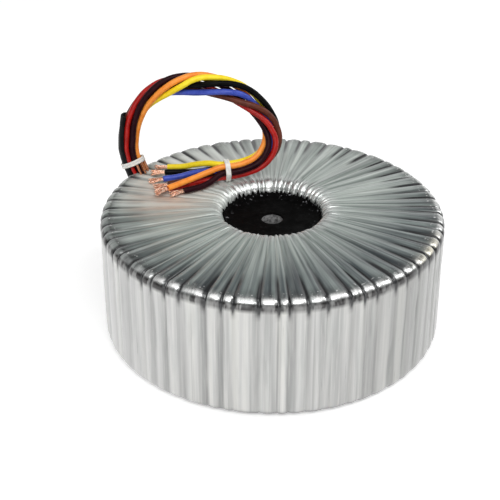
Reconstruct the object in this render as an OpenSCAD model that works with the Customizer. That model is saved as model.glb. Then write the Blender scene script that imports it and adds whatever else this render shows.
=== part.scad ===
// Toroidal transformer, drawn on its base: +Z up, origin at the centre of the underside.
// From the middle outwards: strip-wound core, insulation, primary, tape, secondary, pleated film wrap.

/* [Body] */
// Diameter over the wrap
body_d = 165; // [155:1:180]
// Height at the outer shoulder
body_h = 62; // [56:1:70]
// Rise of the top face from the shoulder to the lip of the hole
crown_rise = 2; // [0:0.5:4]
// Diameter of the wrapped hole
hole_d = 47; // [44:1:48]
// Radius of the top outer shoulder
shoulder_r = 4.4; // [3:0.2:6]
// Radius of the bottom outer edge
foot_r = 5; // [3:0.5:6]
// Radius of the rolled lip round the top of the hole
lip_r = 6; // [4:0.5:7]
// Radius of the bottom edge of the hole
hole_foot_r = 4; // [2:0.5:5]

/* [Film wrap] */
// Thickness of the wrap on the outer wall
wrap_t = 2.4; // [2.2:0.1:3]
// Number of main pleats round the body
pleats = 62; // [40:1:64]
// Depth of a pleat's notch at the outer shoulder
notch_shoulder = 1.5; // [0.4:0.1:1.8]
// Depth of a pleat's notch on the outer wall
notch_wall = 0.5; // [0.1:0.1:0.8]
// Depth of a pleat's notch on the top face
notch_top = 0.9; // [0.2:0.1:1.2]
// Depth of a pleat's notch on the underside
notch_base = 0.3; // [0.1:0.1:0.5]
// Unevenness of the pleats' widths, as a share of the mean width
pleat_spread = 0.7; // [0:0.1:0.9]

/* [Core and windings] */
// Thickness of the secondary on the outer wall
secondary_t = 3.5; // [2.5:0.5:4]
// Thickness of the tape between the windings
tape_t = 1; // [0.5:0.1:1.5]
// Thickness of the primary on the outer wall
primary_t = 4; // [3:0.5:4.5]
// Thickness of the core's insulation
insulation_t = 1.5; // [1:0.1:2]
// How much thicker a winding is at the hole than on the outer wall
bore_build = 1.6; // [1:0.1:1.7]
// How much thicker a winding is over the ends than on the outer wall
end_build = 1.25; // [1:0.05:1.3]

/* [Centre] */
// Level of the potting in the middle, above the base
potting_h = 57; // [50:1:57]
// Rise of the potting where it wets the wrap
potting_creep = 1.5; // [0.5:0.5:1.5]
// Bore of the centre bush, for an M8 bolt
bush_bore = 10; // [8:0.5:12]
// Wall of the centre bush
bush_wall = 1.2; // [0.8:0.1:2]
// Depth of the bush's end below the potting
bush_sink = 0.6; // [0.4:0.1:1]

/* [Leads] */
// Diameter of a lead over its insulation
lead_d = 3; // [2.6:0.1:3.2]
// Room between neighbouring leads
lead_gap = 0.15; // [0.1:0.05:0.4]
// Diameter of one strand group of bare copper
strand_d = 0.6; // [0.4:0.1:0.7]
// Length of the bare copper
strip_l = 8; // [5:0.5:10]
// Wall of the black exit sleeve
sleeve_t = 0.6; // [0.4:0.1:0.7]
// Width of a cable tie
tie_w = 2.5; // [2:0.1:3]
// Thickness of a cable tie's band
tie_t = 0.8; // [0.6:0.1:1]

/* [Hidden] */

// A close fit between pieces that lie against each other
fit_gap = 0.05;
// Facets of round exact pieces, and of the boundary between facets and true curves
round_fn = 96;
// Sides of a lead's tube
lead_sides = 8;

body_r = body_d / 2;
hole_r = hole_d / 2;
top_z = body_h + crown_rise;

// ---- Vectors ----

function unit(v) = v / norm(v);
function mix(a, b, t) = a + (b - a) * t;
function fraction(x) = x - floor(x);

// ---- Pleated wrap ----

// An arc of stations on the section: each is [r, z, outward normal r, outward normal z, notch depth]
function arc_stations(centre, radius, from, to, steps, depth_from, depth_to) = [
    for (i = [0:steps])
        let (a = mix(from, to, i / steps), depth = mix(depth_from, depth_to, i / steps))
        [centre[0] + radius * cos(a), centre[1] + radius * sin(a), cos(a), sin(a), depth]];

lip_centre = [hole_r + lip_r, top_z - lip_r];
shoulder_centre = [body_r - shoulder_r, body_h - shoulder_r];
top_steps = 4;

// The section runs anticlockwise: hole's foot, underside, outer edge, wall, shoulder, top, lip
wrap_section = concat(
    arc_stations([hole_r + hole_foot_r, hole_foot_r], hole_foot_r, 180, 270, 2, 0, notch_base),
    arc_stations([body_r - foot_r, foot_r], foot_r, 270, 360, 3, notch_base, notch_wall),
    arc_stations(shoulder_centre, shoulder_r, 0, 45, 2, notch_wall, notch_shoulder),
    arc_stations(shoulder_centre, shoulder_r, 67.5, 90, 1, notch_shoulder, notch_top),
    [for (i = [1:top_steps - 1])
        let (p = mix([shoulder_centre[0], body_h], [lip_centre[0], top_z], i / top_steps))
        [p[0], p[1], 0, 1, notch_top * mix(1, 0.6, i / top_steps)]],
    arc_stations(lip_centre, lip_r, 90, 150, 2, notch_top * 0.8, notch_top),
    arc_stations(lip_centre, lip_r, 180, 180, 1, 0, 0));

// Each pleat's share of the full turn, uneven but fixed
function pleat_width(i) = 1 + pleat_spread * (fraction(i * 0.618) - 0.5) + 0.3 * pleat_spread * sin(i * 97);
pleat_widths = [for (i = [0:pleats - 1]) pleat_width(i)];
function running_sum(list, i = 0, total = 0) =
    i >= len(list) ? [total] : concat([total], running_sum(list, i + 1, total + list[i]));
pleat_starts = running_sum(pleat_widths);
pleat_turn = pleat_starts[pleats];
// Some notches are deeper than others
function notch_share(i) = 0.65 + 0.35 * sin(i * 151);
// Within a pleat: [share of its width, share of the notch's depth]
pleat_profile = [[0, 1], [0.12, 0.1], [0.5, 0], [0.86, 0.25]];

// Columns round the body: [angle, share of the notch's depth]
wrap_columns = [for (i = [0:pleats - 1], p = pleat_profile)
    [360 * (pleat_starts[i] + p[0] * pleat_widths[i]) / pleat_turn, p[1] * notch_share(i)]];

// The bore's corners lie just outside the hole's circle, so the potting's true cylinder fits inside
bore_ease = 1 / cos(360 / len(wrap_columns));

function wrap_point(column, station) =
    let (r = station[0] - station[2] * station[4] * column[1],
         z = station[1] - station[3] * station[4] * column[1],
         eased = r < hole_r + 0.01 ? r * bore_ease : r)
    [eased * cos(column[0]), eased * sin(column[0]), z];

// Triangles over a grid of rows of points that closes on itself both ways
function closed_grid(rows, across) = [
    for (i = [0:rows - 1], j = [0:across - 1])
        let (a = i * across + j,
             b = ((i + 1) % rows) * across + j,
             c = ((i + 1) % rows) * across + (j + 1) % across,
             d = i * across + (j + 1) % across)
        each [[a, b, c], [a, c, d]]];

module pleated_ring() {
    points = [for (c = wrap_columns, s = wrap_section) wrap_point(c, s)];
    polyhedron(points, closed_grid(len(wrap_columns), len(wrap_section)), convexity = 8);
}

// ---- Rings with rounded corners, for the hidden layers ----

// Bounds of a layer's section: [inner radius, outer radius, bottom, top]
function inset(section, t) = [section[0] + t * bore_build, section[1] - t,
    section[2] + t * end_build, section[3] - t * end_build];
function inset_even(section, t) = [section[0] + t, section[1] - t, section[2] + t, section[3] - t];

// The film is thinner over the ends than on the outer wall
end_wrap = 0.8;
secondary_out = [hole_r + wrap_t * bore_build, body_r - wrap_t,
    wrap_t * end_wrap, body_h - wrap_t * end_wrap];
tape_out = inset(secondary_out, secondary_t);
primary_out = inset_even(tape_out, tape_t);
insulation_out = inset(primary_out, primary_t);
core_out = inset_even(insulation_out, insulation_t);
// Corner radii of the layers
winding_corner = 4;
tape_corner = 3;
primary_corner = 2;

module rounded_section(section, corner) {
    width = section[1] - section[0];
    height = section[3] - section[2];
    translate([section[0] + corner, section[2]]) square([width - 2 * corner, height]);
    if (corner > 0) {
        translate([section[0], section[2] + corner]) square([width, height - 2 * corner]);
        for (r = [section[0] + corner, section[1] - corner], z = [section[2] + corner, section[3] - corner])
            translate([r, z]) circle(r = corner, $fn = round_fn);
    }
}

module ring_solid(section, corner) {
    rotate_extrude($fn = round_fn) rounded_section(section, corner);
}

module ring_shell(outer, outer_corner, inner, inner_corner) {
    rotate_extrude($fn = round_fn) difference() {
        rounded_section(outer, outer_corner);
        rounded_section(inner, inner_corner);
    }
}

module plain_ring(inner_r, outer_r, bottom, top) {
    translate([0, 0, bottom]) difference() {
        cylinder(h = top - bottom, r = outer_r, $fn = round_fn);
        translate([0, 0, -1]) cylinder(h = top - bottom + 2, r = inner_r, $fn = round_fn);
    }
}

// ---- Route of the lead bundle ----

// The bundle leaves through the shoulder at this angle round the body, at this slope
exit_azimuth = 149.5;
exit_slope = 64;
exit_axis = [cos(exit_slope) * cos(exit_azimuth), cos(exit_slope) * sin(exit_azimuth), sin(exit_slope)];
exit_r = shoulder_centre[0] + shoulder_r * cos(exit_slope);
exit_surface = [exit_r * cos(exit_azimuth), exit_r * sin(exit_azimuth),
    shoulder_centre[1] + shoulder_r * sin(exit_slope)];
// Depth of the exit's pocket below the shoulder, and the way out to the exit tie
pocket_depth = 2.2;
pocket_lip = 1.4;
exit_tie_out = 5;
exit_straight = exit_tie_out + tie_w / 2 + 0.1;
function on_exit(out) = exit_surface + out * exit_axis;

// Centre of the bundle past the exit tie: up, over and back down to the bundle tie.
// x and y are on a body this wide, and z is above the shoulder.
route_body_d = 165;
bundle_points = [
    [-72.6, 44.2, 10.5], [-72.2, 45.5, 16.5], [-71, 46.3, 22.5], [-68.4, 46.5, 29], [-64.4, 46.5, 35],
    [-59, 46, 40], [-53, 45.5, 43.4], [-45.5, 45, 45.2], [-38, 44.5, 45.8], [-30, 44, 45.3],
    [-22, 43.5, 43.5], [-15, 42.8, 40.5], [-8.8, 41.8, 36], [-4, 40.5, 30.5], [-1, 39, 24.5],
    [-0.5, 36.8, 18.5], [-3, 34, 13.6], [-7.5, 31.3, 10], [-13.5, 28.9, 8.2], [-19.5, 27.5, 7.3],
    [-25.5, 26.3, 7.1]];
route_scale = body_d / route_body_d;
function on_body(p) = [p[0] * route_scale, p[1] * route_scale, p[2] + body_h];
spine = concat([on_exit(-pocket_depth), on_exit(pocket_lip), on_exit(exit_straight)],
    [for (p = bundle_points) on_body(p)]);
straight_stations = 3;
last_station = len(spine) - 1;

// How far the rope has turned round its middle: [length along the bundle, angle]
twist_points = [[0, 177], [20, 170], [34, 142], [42, 116], [50, 85], [58, 48], [66, 12], [74, -24],
    [84, -58], [94, -90], [104, -124], [114, -156], [124, -186], [136, -206], [146, -214]];
// Radius of the rope's outer leads in lead pitches: [length along the bundle, pitches]
rope_tight = 1.02;
rope_loose = 1.4;
rope_radius = [[0, rope_tight], [40, rope_tight], [50, 1.1], [60, 1.25], [69, rope_loose],
    [97, 1.38], [107, 1.16], [112, 1.12], [130, 1.12], [140, rope_tight]];
// Lengths along the bundle between which the black lead leaves the middle and the blue lead enters it
black_out = [66, 78];
blue_in = [87, 101];
// Lengths at which each lead's turn aside is given below
aside_at = [58, 69, 87, 97, 107];
function run_length(points, last) =
    last == 0 ? 0 : norm(points[last] - points[last - 1]) + run_length(points, last - 1);

// Frame of a route at one of its points: [outward, towards the hole's near side]
near_side = [0, -1, 0];
function frame_of(direction) =
    let (outward = unit(cross(near_side, direction)))
    [outward, cross(direction, outward)];
function direction_at(points, i) =
    unit(points[min(i + 1, len(points) - 1)] - points[max(i - 1, 0)]);
function spine_frame(station) =
    frame_of(station < straight_stations ? exit_axis : direction_at(spine, station));

// Leads in their order round the bundle: [turn aside with the black lead in the middle, while it
// leaves, while the blue lead enters, and with that in the middle], then the free tail's points
ORANGE = 0;
YELLOW = 1;
BLACK = 2;
BLUE = 3;
BROWN = 4;
RED = 5;
VIOLET = 6;
lead_count = 7;
lead_lay = [
    [[13, -4, -1, 4], [[-32, 22.3, 8.2], [-38.5, 18.9, 6.8], [-44.8, 15.2, 5.8], [-50.8, 11.2, 5.2]]],
    [[21, -8, -4, 13], [[-31.6, 30.2, 9.3], [-38.4, 33.7, 6.9], [-45.6, 37, 3.9], [-52.9, 38.4, 2.9]]],
    [[0, 0, -8, 21], [[-31.6, 30.8, 5.5], [-38.5, 32.4, 3.4], [-46, 33.2, 2.7], [-54, 33.4, 2.5]]],
    [[-21, 8, 0, 0], [[-32, 27.2, 6.6], [-39, 28.3, 4.9], [-46.5, 27.8, 2.9], [-54.4, 25.8, 2.6]]],
    [[-13, 4, 8, -21], [[-31.6, 27, 3.3], [-38.2, 24.2, 3.3], [-45, 22.2, 3], [-51.5, 20, 2.7]]],
    [[-4, 1, 4, -13], [[-31.6, 23.4, 3.4], [-38.2, 20.6, 3.3], [-44.6, 17.8, 3.1], [-50.5, 15.2, 2.8]]],
    [[4, -1, 1, -4], [[-30.6, 18.8, 4.6], [-35, 15.9, 3.6], [-39.5, 13.8, 3.3], [-43.2, 12.3, 3.1]]]];
lead_pitch = lead_d + lead_gap;
rope_r = lead_pitch * rope_tight;

// The leads run as a rope of six round a seventh. The rope opens where the middle lead changes.
function share_out(lead, run) =
    lead == BLACK ? lookup(run, [[black_out[0], 0], [black_out[1], 1]]) :
    lead == BLUE ? lookup(run, [[blue_in[0], 1], [blue_in[1], 0]]) : 1;
function lead_angle(lead, run) =
    let (aside = lead_lay[lead][0])
    lookup(run, twist_points) + lead * 360 / lead_count + lookup(run, [
        [aside_at[0], aside[0]], [aside_at[1], aside[1]], [aside_at[2], aside[2]],
        [aside_at[3], aside[2]], [aside_at[4], aside[3]]]);
function lead_place(lead, station) =
    let (run = run_length(spine, station),
         a = lead_angle(lead, run))
    lead_pitch * lookup(run, rope_radius) * share_out(lead, run) * [cos(a), sin(a)];
function lead_path(lead) = concat(
    [for (k = [0:last_station])
        let (place = lead_place(lead, k), sides = spine_frame(k))
        spine[k] + place[0] * sides[0] + place[1] * sides[1]],
    [for (p = lead_lay[lead][1]) on_body(p)]);

// ---- Sweeps ----

// A solid tube along a list of points; the first rings lie square to the exit
module tube(path, d) {
    function ring(i) =
        let (sides = frame_of(i < straight_stations ? exit_axis : direction_at(path, i)))
        [for (j = [0:lead_sides - 1])
            let (a = (j + 0.5) * 360 / lead_sides)
            path[i] + d / 2 * (cos(a) * sides[0] + sin(a) * sides[1])];
    points = [for (i = [0:len(path) - 1]) each ring(i)];
    last = (len(path) - 1) * lead_sides;
    walls = [for (i = [0:len(path) - 2], j = [0:lead_sides - 1])
        let (a = i * lead_sides + j,
             b = i * lead_sides + (j + 1) % lead_sides)
        each [[a, a + lead_sides, b + lead_sides], [a, b + lead_sides, b]]];
    polyhedron(points, concat(walls,
        [[for (j = [0:lead_sides - 1]) j], [for (j = [lead_sides - 1:-1:0]) last + j]]), convexity = 8);
}

// Outline round a convex list of corners, given anticlockwise, at a distance from them
function round_outline(corners, radius) = [
    for (i = [0:len(corners) - 1])
        let (before = corners[i] - corners[(i + len(corners) - 1) % len(corners)],
             after = corners[(i + 1) % len(corners)] - corners[i],
             from = atan2(-before[0], before[1]),
             turn = atan2(-after[0], after[1]) - from,
             sweep = turn < 0 ? turn + 360 : turn)
        for (k = [0:5])
            corners[i] + radius * [cos(from + sweep * k / 5), sin(from + sweep * k / 5)]];

// Places a child so that its x is outward, its y the near side and its z along the route
module in_frame(at, along) {
    sides = frame_of(along);
    multmatrix([
        [sides[0][0], sides[1][0], along[0], at[0]],
        [sides[0][1], sides[1][1], along[1], at[1]],
        [sides[0][2], sides[1][2], along[2], at[2]],
        [0, 0, 0, 1]]) children();
}

// Turns a child that points up to point along a direction
module point_along(at, direction) {
    d = unit(direction);
    translate(at) rotate([0, acos(d[2]), atan2(d[1], d[0])]) children();
}

// ---- Sizes round the exit ----

sleeve_ease = 0.15;
sleeve_in_r = rope_r + lead_d / 2 + sleeve_ease;
sleeve_out_r = sleeve_in_r + sleeve_t;
// Enamelled tails of the windings: their diameter, their angles round the exit, and their room under the tie
tail_d = 1.1;
tail_angles = [118, 146, 174, 202];
tail_room = 0.3;
tail_r = sleeve_in_r + fit_gap + tail_d / 2;
pocket_ease = 0.2;
pocket_r = max(sleeve_out_r, tail_r + tail_d / 2) + pocket_ease;
// Bare copper: wires at each end, how far they fan out sideways, how flat the fan is, how much
// shorter each wire is than the last, and their room to the insulation's end face
strand_count = 5;
fan_spread = 0.1;
fan_flat = 0.4;
strand_step = 0.06;
end_gap = 0.1;
// A tie's head: its height, its width, how far out of the band's inside it starts, and each tie's turn
tie_head_h = 2.4;
tie_head_w = tie_w + 1;
head_seat = tie_t / 2;
exit_tie_turn = 120;
bundle_tie_turn = 90;

// Sleeve: [centre, frame, first angle, last angle], a trough that opens out as it rises
sleeve_steps = 8;
sleeve_from = [-105, -99, -93, -87, -81, -75, -70];
sleeve_to = [80, 76, 72, 68, 64, 60, 55];
sleeve_lean = [0, 0, 0, 0.2, 0.5, 0.9, 1.5];
// The cut end, part of the way to the spine's next point
sleeve_end = 5.6;
function sleeve_centre(k) =
    k < 6 ? spine[k] : mix(spine[floor(sleeve_end)], spine[ceil(sleeve_end)], fraction(sleeve_end));
sleeve_rows = [for (k = [0:6])
    let (sides = spine_frame(min(k, 5)))
    [sleeve_centre(k) + sleeve_lean[k] * sides[0], sides, sleeve_from[k], sleeve_to[k]]];

// The potting's wetted edge: where it bends and how high it is there, and where it levels out
creep_knee = 2.5;
creep_share = 0.3;
creep_reach = 6.5;

// ---- Sub-parts ----

module core() {
    color("dimgray") plain_ring(core_out[0], core_out[1], core_out[2], core_out[3]);
}

module core_ring_top() {
    color("tan") plain_ring(insulation_out[0], insulation_out[1], core_out[3], insulation_out[3]);
}

module core_ring_bottom() {
    color("tan") plain_ring(insulation_out[0], insulation_out[1], insulation_out[2], core_out[2]);
}

module core_band_inner() {
    color("tan") plain_ring(insulation_out[0], core_out[0], core_out[2], core_out[3]);
}

module core_band_outer() {
    color("tan") plain_ring(core_out[1], insulation_out[1], core_out[2], core_out[3]);
}

module primary_winding() {
    color("peru") ring_shell(primary_out, primary_corner, insulation_out, 0);
}

module interwinding_tape() {
    color("khaki") ring_shell(tape_out, tape_corner, primary_out, primary_corner);
}

module secondary_winding() {
    color("chocolate") ring_shell(secondary_out, winding_corner, tape_out, tape_corner);
}

// The film's overlapping turns are one solid round the windings, with the exit's pocket cut in
module outer_wrap() {
    cavity = inset_even(secondary_out, -fit_gap);
    color("silver") difference() {
        pleated_ring();
        ring_solid(cavity, winding_corner + fit_gap);
        point_along(on_exit(-pocket_depth), exit_axis)
            cylinder(h = pocket_depth + shoulder_r + pocket_r, r = pocket_r, $fn = round_fn);
    }
}

module potting() {
    bush_r = bush_bore / 2;
    color([0.06, 0.06, 0.07]) rotate_extrude($fn = round_fn) polygon([
        [bush_r + bush_wall, 0], [hole_r, 0],
        [hole_r, potting_h + potting_creep], [hole_r - creep_knee, potting_h + potting_creep * creep_share],
        [hole_r - creep_reach, potting_h], [bush_r, potting_h],
        [bush_r, potting_h - bush_sink], [bush_r + bush_wall, potting_h - bush_sink]]);
}

module centre_bush() {
    color("gray") plain_ring(bush_bore / 2, bush_bore / 2 + bush_wall, 0, potting_h - bush_sink);
}

module exit_sleeve() {
    across = sleeve_steps + 1;
    function arc(row, radius) = [for (j = [0:sleeve_steps])
        let (a = mix(row[2], row[3], j / sleeve_steps))
        row[0] + radius * (cos(a) * row[1][0] + sin(a) * row[1][1])];
    points = [for (row = sleeve_rows)
        each concat(arc(row, sleeve_in_r), [for (j = [sleeve_steps:-1:0]) arc(row, sleeve_out_r)[j]])];
    around = 2 * across;
    last = (len(sleeve_rows) - 1) * around;
    walls = [for (i = [0:len(sleeve_rows) - 2], j = [0:around - 1])
        let (a = i * around + j,
             b = i * around + (j + 1) % around)
        each [[a, b, b + around], [a, b + around, a + around]]];
    ends = [for (j = [0:sleeve_steps - 1])
        let (k = around - 1 - j)
        each [[j, k, k - 1], [j, k - 1, j + 1]]];
    color([0.05, 0.05, 0.05]) polyhedron(points, concat(walls,
        ends, [for (f = ends) [last + f[2], last + f[1], last + f[0]]]), convexity = 6);
}

// Enamelled ends of the windings, brought out beside the leads and cut off under the tie
module winding_tails() {
    sides = frame_of(exit_axis);
    color("sienna") for (a = tail_angles)
        point_along(on_exit(-pocket_depth) + tail_r * (cos(a) * sides[0] + sin(a) * sides[1]), exit_axis)
            cylinder(h = pocket_depth + exit_tie_out - tie_w / 2 - tail_room, r = tail_d / 2, $fn = 24);
}

// The square head that a tie's band passes through, outside the band
module tie_head(turn, inner_r) {
    rotate([0, 0, turn]) translate([-inner_r - head_seat - tie_head_h / 2, 0, 0])
        cube([tie_head_h, tie_head_w, tie_head_w], center = true);
}

module exit_tie() {
    inner_r = sleeve_out_r + fit_gap;
    color("whitesmoke") in_frame(on_exit(exit_tie_out), exit_axis) {
        translate([0, 0, -tie_w / 2]) difference() {
            cylinder(h = tie_w, r = inner_r + tie_t, $fn = round_fn);
            translate([0, 0, -1]) cylinder(h = tie_w + 2, r = inner_r, $fn = round_fn);
        }
        tie_head(exit_tie_turn, inner_r);
    }
}

// Round the six outer leads of the closed bundle
module bundle_tie() {
    at = mix(spine[last_station - 1], spine[last_station], 0.5);
    along = unit(spine[last_station] - spine[last_station - 1]);
    hold = lead_d / 2 + lead_gap / 2;
    corners = [for (w = [BROWN, RED, VIOLET, ORANGE, YELLOW, BLACK]) lead_place(w, last_station)];
    color("whitesmoke") in_frame(at, along) {
        translate([0, 0, -tie_w / 2]) linear_extrude(tie_w) difference() {
            polygon(round_outline(corners, hold + tie_t));
            polygon(round_outline(corners, hold));
        }
        tie_head(bundle_tie_turn, rope_r + hold);
    }
}

module lead(which, paint) {
    color(paint) tube(lead_path(which), lead_d);
}

// Bare copper at a lead's free end: separate wires that fan out, mostly sideways
module strands(which) {
    path = lead_path(which);
    end = path[len(path) - 1];
    along = direction_at(path, len(path) - 1);
    aside = unit([along[1], -along[0], 0]);
    over = cross(aside, along);
    start_r = lead_d / 2 - strand_d;
    color("#c87040") for (i = [0:strand_count - 1])
        let (a = (i + 0.25) * 360 / strand_count,
             away = cos(a) * aside + fan_flat * sin(a) * over)
        point_along(end + end_gap * along + start_r * (cos(a) * aside + sin(a) * over),
            along + fan_spread * away)
            cylinder(h = strip_l * (1 - strand_step * i), r = strand_d / 2, $fn = 16);
}

core();
core_ring_top();
core_ring_bottom();
core_band_inner();
core_band_outer();
primary_winding();
interwinding_tape();
secondary_winding();
outer_wrap();
potting();
centre_bush();
exit_sleeve();
winding_tails();
exit_tie();
bundle_tie();
lead(ORANGE, "darkorange");  // lead_orange
lead(YELLOW, "gold");  // lead_yellow
lead(BLACK, "#151515");  // lead_black
lead(BLUE, "royalblue");  // lead_blue
lead(BROWN, "saddlebrown");  // lead_brown
lead(RED, "firebrick");  // lead_red
lead(VIOLET, "#2a2030");  // lead_violet
strands(ORANGE);  // strands_orange
strands(YELLOW);  // strands_yellow
strands(BLACK);  // strands_black
strands(BLUE);  // strands_blue
strands(BROWN);  // strands_brown
strands(RED);  // strands_red
strands(VIOLET);  // strands_violet
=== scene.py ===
import math
import random

import bpy
import numpy as np
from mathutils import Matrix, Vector


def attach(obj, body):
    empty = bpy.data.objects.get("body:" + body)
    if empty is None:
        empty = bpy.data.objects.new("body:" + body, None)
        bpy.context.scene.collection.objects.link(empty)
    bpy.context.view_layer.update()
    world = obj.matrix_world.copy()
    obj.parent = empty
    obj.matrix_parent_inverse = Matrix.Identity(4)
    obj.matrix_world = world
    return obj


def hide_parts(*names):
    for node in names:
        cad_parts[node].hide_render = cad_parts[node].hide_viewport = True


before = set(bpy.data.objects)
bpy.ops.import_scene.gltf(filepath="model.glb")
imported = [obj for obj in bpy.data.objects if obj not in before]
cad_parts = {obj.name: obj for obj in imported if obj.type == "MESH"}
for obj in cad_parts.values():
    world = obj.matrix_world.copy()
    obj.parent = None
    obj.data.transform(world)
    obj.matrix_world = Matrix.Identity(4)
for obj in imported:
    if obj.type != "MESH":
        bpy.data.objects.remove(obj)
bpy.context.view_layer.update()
scene = bpy.context.scene
MM = 0.001


def link_to_scene(name, data):
    ob = bpy.data.objects.new(name, data)
    scene.collection.objects.link(ob)
    return ob


def point_along(ob, at, direction):
    """Put the camera or a lamp at a point, looking along a direction."""
    ob.location = at
    ob.rotation_mode = "QUATERNION"
    ob.rotation_quaternion = Vector(direction).to_track_quat("-Z", "Y")


# ---------------------------------------------------------------- camera
CAMERA_AT = (0, -0.5396, 0.3563)
CAMERA_LOOK = (-0.017061, 0.862063, -0.506513)
LENS, SENSOR = 92.1, 36

camera_data = bpy.data.cameras.new("camera")
camera = link_to_scene("camera", camera_data)
point_along(camera, CAMERA_AT, CAMERA_LOOK)
camera_data.sensor_width = SENSOR
camera_data.lens = LENS
camera_data.clip_start, camera_data.clip_end = 0.01, 30
scene.camera = camera

# ---------------------------------------------------------------- sizes, as in the CAD source (mm)
BODY_R, BODY_H, CROWN, HOLE_R = 82.5, 62.0, 2.0, 23.5
TOP = BODY_H + CROWN
SHOULDER_R, FOOT_R, LIP_R, HOLE_FOOT_R = 4.4, 5.0, 6.0, 4.0
PLEATS, SPREAD = 62, 0.7
LEAD_D, LEAD_GAP = 3.0, 0.15
TIE_W, TIE_T, TIE_GAP = 2.5, 0.8, 0.05
POTTING_H, BORE_R, BUSH_WALL = 57.0, 5.0, 1.2
POCKET, POCKET_LIP, TIE_OUT = 2.2, 1.4, 5.0
STRIP_L, WIRE_R = 8.0, 0.19
SLEEVE_T, SLEEVE_GAP = 0.6, 0.15


def unit(v):
    return v / np.linalg.norm(v)


def around(angle):
    """The unit vector at an angle, in radians."""
    return np.array([math.cos(angle), math.sin(angle)])


# ---------------------------------------------------------------- the bundle's route
EXIT_AZIMUTH, EXIT_SLOPE = math.radians(149.5), math.radians(64)


def at_exit_azimuth(radius, height):
    return np.array([radius * math.cos(EXIT_AZIMUTH), radius * math.sin(EXIT_AZIMUTH), height])


EXIT_AXIS = at_exit_azimuth(math.cos(EXIT_SLOPE), math.sin(EXIT_SLOPE))
EXIT = at_exit_azimuth(BODY_R - SHOULDER_R + SHOULDER_R * math.cos(EXIT_SLOPE),
                       BODY_H - SHOULDER_R + SHOULDER_R * math.sin(EXIT_SLOPE))
STRAIGHT = TIE_OUT + TIE_W / 2 + 0.1


def on_exit(out):
    return EXIT + out * EXIT_AXIS


def above_body(point):
    return np.array([point[0], point[1], point[2] + BODY_H])


# points of the bundle's middle: x, y and the height above BODY_H
BUNDLE = [
    (-72.6, 44.2, 10.5), (-72.2, 45.5, 16.5), (-71, 46.3, 22.5), (-68.4, 46.5, 29), (-64.4, 46.5, 35),
    (-59, 46, 40), (-53, 45.5, 43.4), (-45.5, 45, 45.2), (-38, 44.5, 45.8), (-30, 44, 45.3),
    (-22, 43.5, 43.5), (-15, 42.8, 40.5), (-8.8, 41.8, 36), (-4, 40.5, 30.5), (-1, 39, 24.5),
    (-0.5, 36.8, 18.5), (-3, 34, 13.6), (-7.5, 31.3, 10), (-13.5, 28.9, 8.2), (-19.5, 27.5, 7.3),
    (-25.5, 26.3, 7.1)]
SPINE = [on_exit(-POCKET), on_exit(POCKET_LIP), on_exit(STRAIGHT)] + [above_body(p) for p in BUNDLE]
LAST = len(SPINE) - 1
RUN = np.concatenate([[0], np.cumsum([np.linalg.norm(SPINE[i + 1] - SPINE[i]) for i in range(LAST)])])

# tables of (mm along the bundle, value): the rope's turn in degrees, its radius in pitches, how far
# the black lead has come out of the middle, and how far the blue one still is from it
TWIST = [(0, 177), (20, 170), (34, 142), (42, 116), (50, 85), (58, 48), (66, 12), (74, -24), (84, -58),
         (94, -90), (104, -124), (114, -156), (124, -186), (136, -206), (146, -214)]
TIGHT = 1.02
ROPE = [(0, TIGHT), (40, TIGHT), (50, 1.1), (60, 1.25), (69, 1.4), (97, 1.38), (107, 1.16), (112, 1.12),
        (130, 1.12), (140, TIGHT)]
BLACK_OUT = [(66, 0), (78, 1)]
BLUE_IN = [(87, 1), (101, 0)]
ASIDE_AT = (58, 69, 87, 97, 107)
PITCH = LEAD_D + LEAD_GAP
ROPE_R = PITCH * TIGHT

# each lead: how many degrees it gives way where black and blue change places, and its free end's points,
# which are written as the bundle's are
LEADS = ["orange", "yellow", "black", "blue", "brown", "red", "violet"]
LAY = [
    ((13, -4, -1, 4), [(-32, 22.3, 8.2), (-38.5, 18.9, 6.8), (-44.8, 15.2, 5.8), (-50.8, 11.2, 5.2)]),
    ((21, -8, -4, 13), [(-31.6, 30.2, 9.3), (-38.4, 33.7, 6.9), (-45.6, 37, 3.9), (-52.9, 38.4, 2.9)]),
    ((0, 0, -8, 21), [(-31.6, 30.8, 5.5), (-38.5, 32.4, 3.4), (-46, 33.2, 2.7), (-54, 33.4, 2.5)]),
    ((-21, 8, 0, 0), [(-32, 27.2, 6.6), (-39, 28.3, 4.9), (-46.5, 27.8, 2.9), (-54.4, 25.8, 2.6)]),
    ((-13, 4, 8, -21), [(-31.6, 27, 3.3), (-38.2, 24.2, 3.3), (-45, 22.2, 3), (-51.5, 20, 2.7)]),
    ((-4, 1, 4, -13), [(-31.6, 23.4, 3.4), (-38.2, 20.6, 3.3), (-44.6, 17.8, 3.1), (-50.5, 15.2, 2.8)]),
    ((4, -1, 1, -4), [(-30.6, 18.8, 4.6), (-35, 15.9, 3.6), (-39.5, 13.8, 3.3), (-43.2, 12.3, 3.1)])]


def frame_of(direction):
    """The outward and the near side of a stretch of the bundle."""
    outward = unit(np.cross([0, -1, 0], direction))
    return outward, np.cross(direction, outward)


def direction_at(points, i):
    return unit(points[min(i + 1, len(points) - 1)] - points[max(i - 1, 0)])


def spine_frame(k):
    return frame_of(EXIT_AXIS if k < 3 else direction_at(SPINE, k))


def lookup(at, table):
    return float(np.interp(at, [row[0] for row in table], [row[1] for row in table]))


def lead_place(which, k):
    """Where a lead lies round the spine's point k, along its outward and near sides."""
    aside = LAY[which][0]
    turn = lookup(RUN[k], TWIST) + which * 360 / len(LEADS)
    turn += lookup(RUN[k], list(zip(ASIDE_AT, (aside[0], aside[1], aside[2], aside[2], aside[3]))))
    share_out = {"black": lookup(RUN[k], BLACK_OUT), "blue": lookup(RUN[k], BLUE_IN)}.get(LEADS[which], 1)
    return PITCH * lookup(RUN[k], ROPE) * share_out * around(math.radians(turn))


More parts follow.
